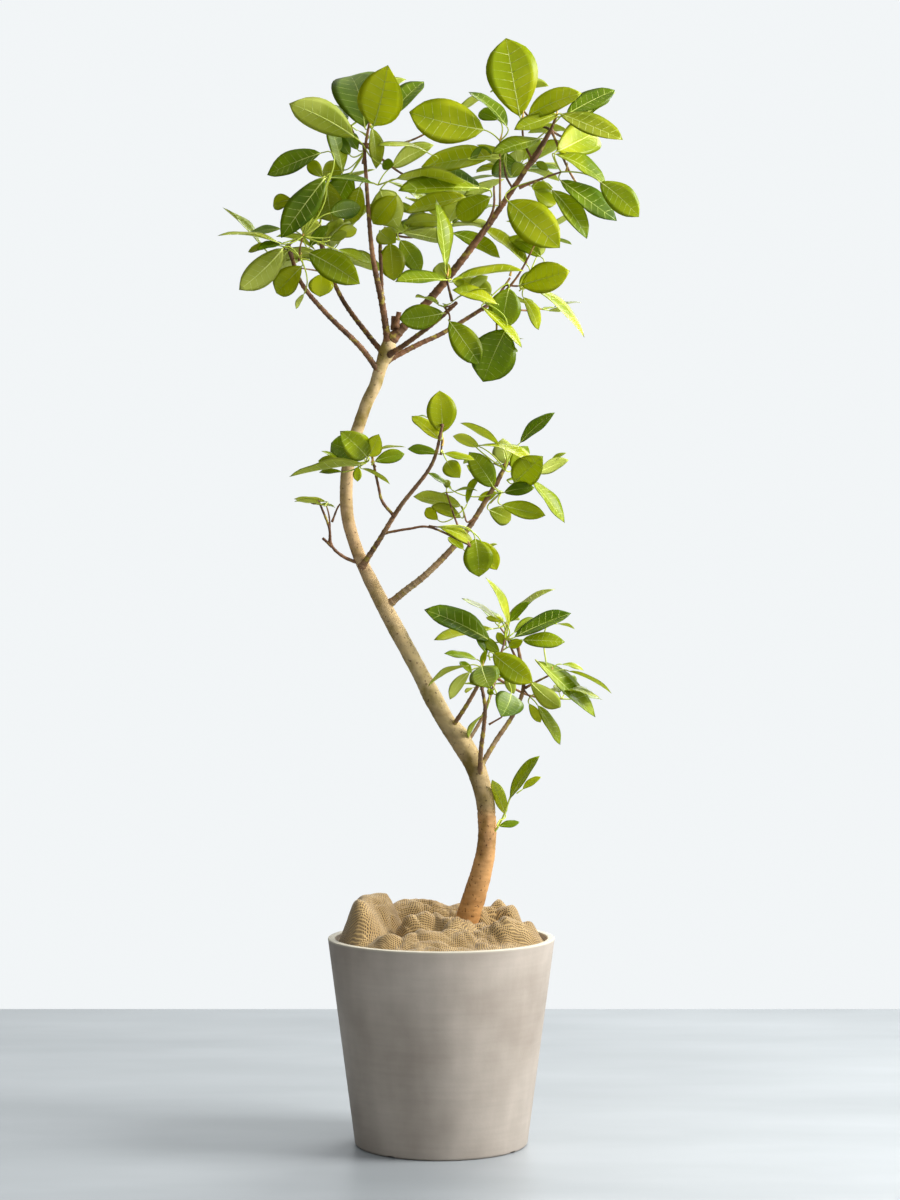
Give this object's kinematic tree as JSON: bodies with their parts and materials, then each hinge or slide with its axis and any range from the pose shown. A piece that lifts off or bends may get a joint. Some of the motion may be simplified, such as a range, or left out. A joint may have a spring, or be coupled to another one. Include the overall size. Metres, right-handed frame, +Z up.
{
  "type": "potted council tree",
  "caption": "Indoor council tree with a bare S-curved trunk and an open, leafy crown, in a tapered stone-look planter with burlap laid over the soil.",
  "frame": {"origin": "centre of the planter's flat underside, at floor level", "axes": "+Z up, +X to the right and -Y towards the viewer in the front view"},
  "size_m": [0.6742, 0.485, 1.7667],
  "materials": {
    "stone": "matte",
    "earth": "matte",
    "burlap": "matte",
    "bark": "matte",
    "dark_bark": "matte",
    "leaf": "satin"
  },
  "bodies": {
    "root": {"planter": "stone", "soil": "earth", "burlap": "burlap", "trunk": "bark", "bough_right": "dark_bark", "bough_centre": "dark_bark", "bough_centre_back": "dark_bark", "bough_left": "dark_bark", "bough_left_back": "dark_bark", "bough_low_front": "dark_bark", "bough_low_right": "dark_bark", "bough_middle": "dark_bark", "bough_middle_front": "dark_bark", "twig_middle": "dark_bark", "bough_middle_right": "dark_bark", "twig_middle_left": "dark_bark", "bough_low_left": "dark_bark", "bough_low_middle": "dark_bark", "bough_low_side": "dark_bark", "bough_low_back": "dark_bark", "sprout_stem": "leaf", "crown_left": "leaf", "crown_left_back": "leaf", "crown_top_left": "leaf", "crown_middle_left": "leaf", "crown_centre_left": "leaf", "crown_centre": "leaf", "crown_upper_centre": "leaf", "crown_top": "leaf", "crown_top_right": "leaf", "crown_right": "leaf", "crown_right_low": "leaf", "crown_low_front": "leaf", "crown_low_right": "leaf", "crown_low_tip": "leaf", "crown_back": "leaf", "crown_back_right": "leaf", "middle_left": "leaf", "middle_left_low": "leaf", "middle_top": "leaf", "middle_centre": "leaf", "middle_right": "leaf", "middle_right_out": "leaf", "middle_low": "leaf", "low_top": "leaf", "low_right": "leaf", "low_left": "leaf", "low_back": "leaf", "sprout": "leaf"}
  },
  "joints": []
}
